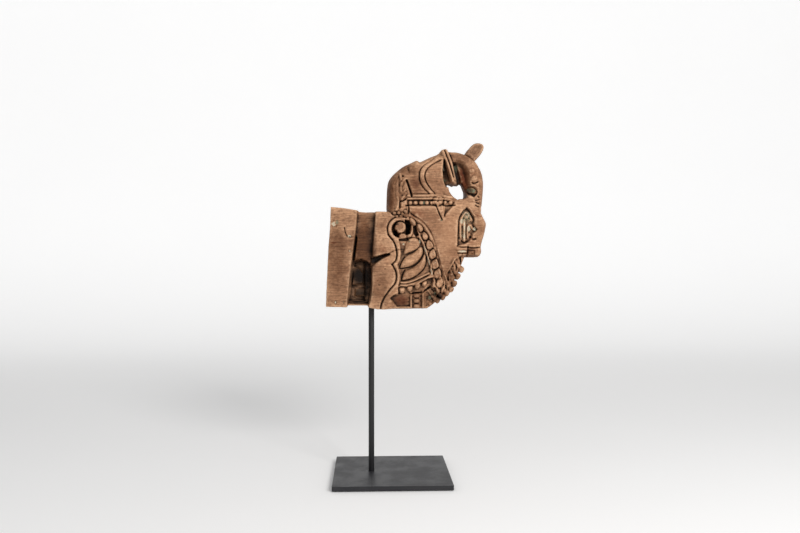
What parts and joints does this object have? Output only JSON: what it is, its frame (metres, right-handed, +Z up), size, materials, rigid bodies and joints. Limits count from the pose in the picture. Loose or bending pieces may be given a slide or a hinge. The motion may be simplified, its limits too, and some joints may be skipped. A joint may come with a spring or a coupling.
{
  "type": "carved horse on display stand",
  "caption": "Carved wooden forequarter of a rearing horse with bridle, garlands and scroll, turning and lifting off on a steel post and square base plate.",
  "frame": {"origin": "centre of the felt's underside, on the surface that the stand rests on", "axes": "+Z up along the post, +X the way the horse faces, +Y towards the horse's left flank"},
  "size_m": [0.2185, 0.16, 0.4642],
  "materials": {
    "aged_wood": "worn, dry, with dark crevices and traces of pale green paint",
    "sleeve_brass": "plain drawn tube",
    "post_black": "blackened, satin",
    "screw_steel": "plain",
    "plate_coat": "charcoal powder coat, fine matt",
    "felt": "pressed felt"
  },
  "bodies": {
    "stand": {"base_plate": "plate_coat", "base_felt": "felt"},
    "post": {"post": "post_black", "base_screw": "screw_steel"},
    "horse": {"carved_horse": "aged_wood", "right_ear": "aged_wood", "left_ear": "aged_wood", "post_sleeve": "sleeve_brass"}
  },
  "joints": [
    {"name": "post_turn", "type": "hinge", "parent": "stand", "child": "post", "pos_m": [-0.028, 0, 0.0057], "axis": [0, 0, 1], "continuous": true},
    {"name": "horse_lift", "type": "slide", "parent": "post", "child": "horse", "axis": [0, 0, 1], "range_m": [0, 0.07]}
  ]
}
